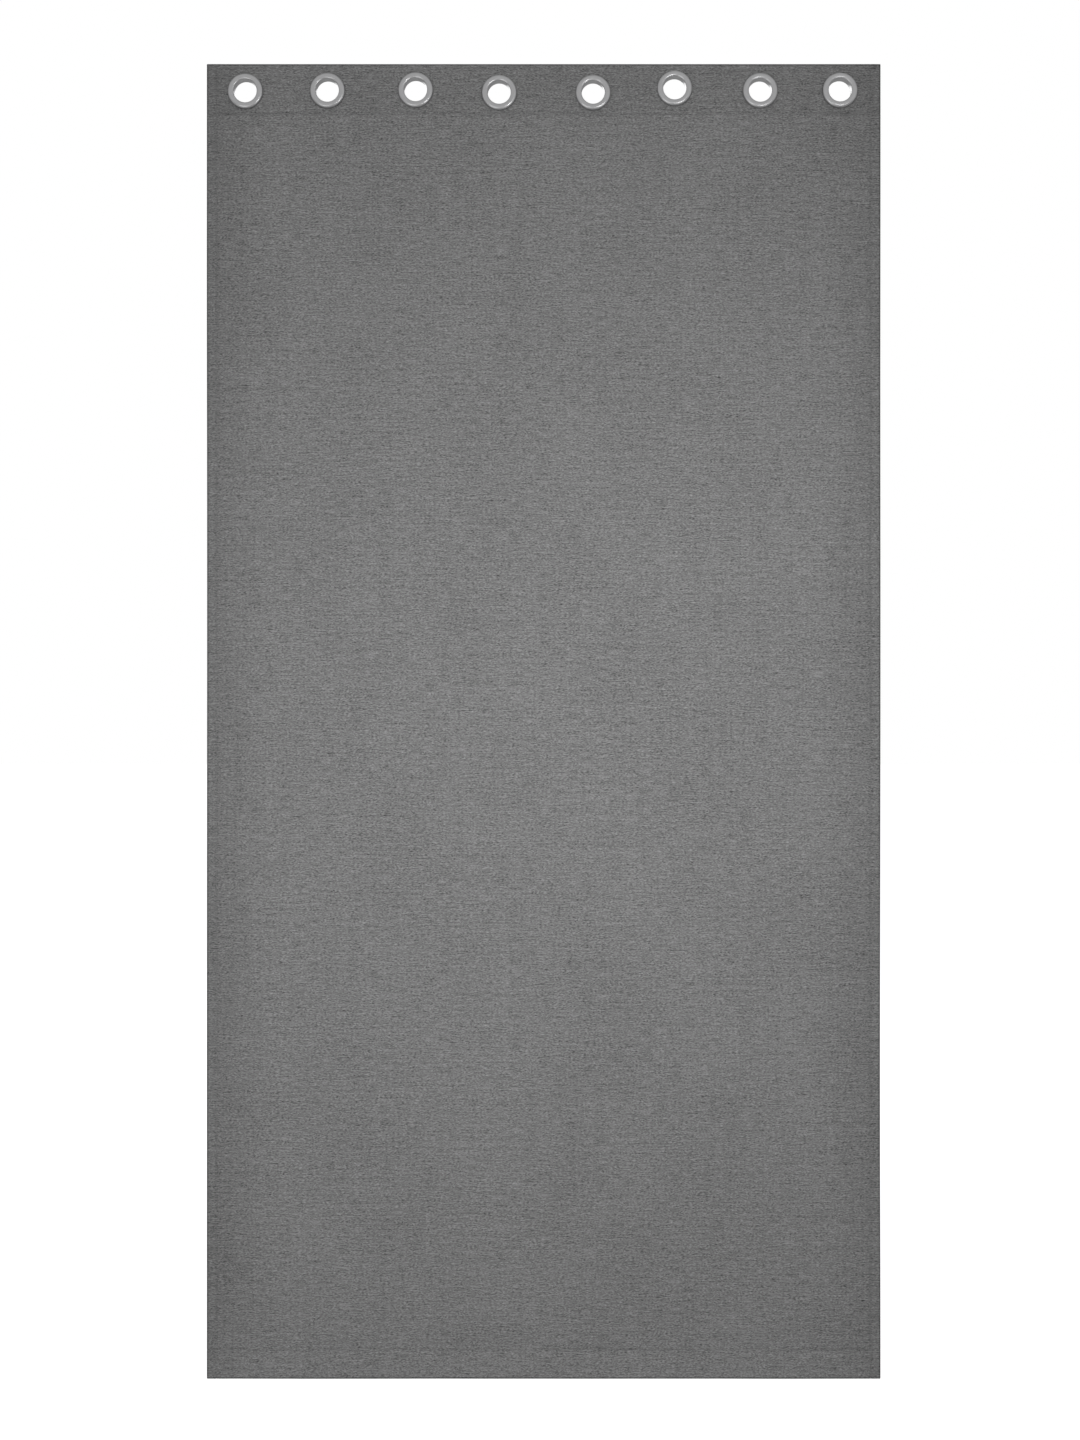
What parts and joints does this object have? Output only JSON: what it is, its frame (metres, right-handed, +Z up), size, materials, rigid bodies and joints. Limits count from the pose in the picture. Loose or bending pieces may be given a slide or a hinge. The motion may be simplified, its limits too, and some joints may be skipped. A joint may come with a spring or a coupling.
{
  "type": "room curtain panel",
  "caption": "Flat grey woven curtain panel with a stiffened heading, stitched hems and a row of satin silver eyelets; folds into pleats between the eyelets.",
  "frame": {"origin": "middle of the eyelet row, on the rod line, at the front of the face cloth", "axes": "+X to the right seen from the room, +Y to the back towards the window, +Z up the drop"},
  "size_m": [1.17, 0.0133, 2.283],
  "materials": {
    "grey_cloth": "matte",
    "white_buckram": "matte",
    "satin_silver": "satin"
  },
  "bodies": {
    "pleat_1": {"face_cloth_1": "grey_cloth", "heading_stiffener_1": "white_buckram", "heading_turn_1": "grey_cloth", "bottom_hem_1": "grey_cloth", "eyelet_front_1": "satin_silver", "eyelet_back_1": "satin_silver", "side_hem_left": "grey_cloth"},
    "pleat_2": {"face_cloth_2": "grey_cloth", "heading_stiffener_2": "white_buckram", "heading_turn_2": "grey_cloth", "bottom_hem_2": "grey_cloth", "eyelet_front_2": "satin_silver", "eyelet_back_2": "satin_silver"},
    "pleat_3": {"face_cloth_3": "grey_cloth", "heading_stiffener_3": "white_buckram", "heading_turn_3": "grey_cloth", "bottom_hem_3": "grey_cloth", "eyelet_front_3": "satin_silver", "eyelet_back_3": "satin_silver"},
    "pleat_4": {"face_cloth_4": "grey_cloth", "heading_stiffener_4": "white_buckram", "heading_turn_4": "grey_cloth", "bottom_hem_4": "grey_cloth", "eyelet_front_4": "satin_silver", "eyelet_back_4": "satin_silver"},
    "pleat_5": {"face_cloth_5": "grey_cloth", "heading_stiffener_5": "white_buckram", "heading_turn_5": "grey_cloth", "bottom_hem_5": "grey_cloth", "eyelet_front_5": "satin_silver", "eyelet_back_5": "satin_silver"},
    "pleat_6": {"face_cloth_6": "grey_cloth", "heading_stiffener_6": "white_buckram", "heading_turn_6": "grey_cloth", "bottom_hem_6": "grey_cloth", "eyelet_front_6": "satin_silver", "eyelet_back_6": "satin_silver"},
    "pleat_7": {"face_cloth_7": "grey_cloth", "heading_stiffener_7": "white_buckram", "heading_turn_7": "grey_cloth", "bottom_hem_7": "grey_cloth", "eyelet_front_7": "satin_silver", "eyelet_back_7": "satin_silver"},
    "pleat_8": {"face_cloth_8": "grey_cloth", "heading_stiffener_8": "white_buckram", "heading_turn_8": "grey_cloth", "bottom_hem_8": "grey_cloth", "eyelet_front_8": "satin_silver", "eyelet_back_8": "satin_silver", "side_hem_right": "grey_cloth"}
  },
  "joints": [
    {"name": "fold_1", "type": "hinge", "parent": "pleat_1", "child": "pleat_2", "pos_m": [-0.4465, 0.0023, 0], "axis": [0, 0, 1], "range_deg": [0, 160]},
    {"name": "fold_2", "type": "hinge", "parent": "pleat_2", "child": "pleat_3", "pos_m": [-0.29875, 0, 0], "axis": [0, 0, 1], "range_deg": [-160, 0]},
    {"name": "fold_3", "type": "hinge", "parent": "pleat_3", "child": "pleat_4", "pos_m": [-0.14975, 0.0023, 0], "axis": [0, 0, 1], "range_deg": [0, 160]},
    {"name": "fold_4", "type": "hinge", "parent": "pleat_4", "child": "pleat_5", "pos_m": [0.00425, 0, 0], "axis": [0, 0, 1], "range_deg": [-160, 0]},
    {"name": "fold_5", "type": "hinge", "parent": "pleat_5", "child": "pleat_6", "pos_m": [0.1565, 0.0023, 0], "axis": [0, 0, 1], "range_deg": [0, 160]},
    {"name": "fold_6", "type": "hinge", "parent": "pleat_6", "child": "pleat_7", "pos_m": [0.3015, 0, 0], "axis": [0, 0, 1], "range_deg": [-160, 0]},
    {"name": "fold_7", "type": "hinge", "parent": "pleat_7", "child": "pleat_8", "pos_m": [0.445, 0.0023, 0], "axis": [0, 0, 1], "range_deg": [0, 160]}
  ],
  "couplings": [
    {"joint": "fold_2", "follows": "fold_1", "ratio": -1},
    {"joint": "fold_3", "follows": "fold_1", "ratio": 1},
    {"joint": "fold_4", "follows": "fold_1", "ratio": -1},
    {"joint": "fold_5", "follows": "fold_1", "ratio": 1},
    {"joint": "fold_6", "follows": "fold_1", "ratio": -1},
    {"joint": "fold_7", "follows": "fold_1", "ratio": 1}
  ]
}
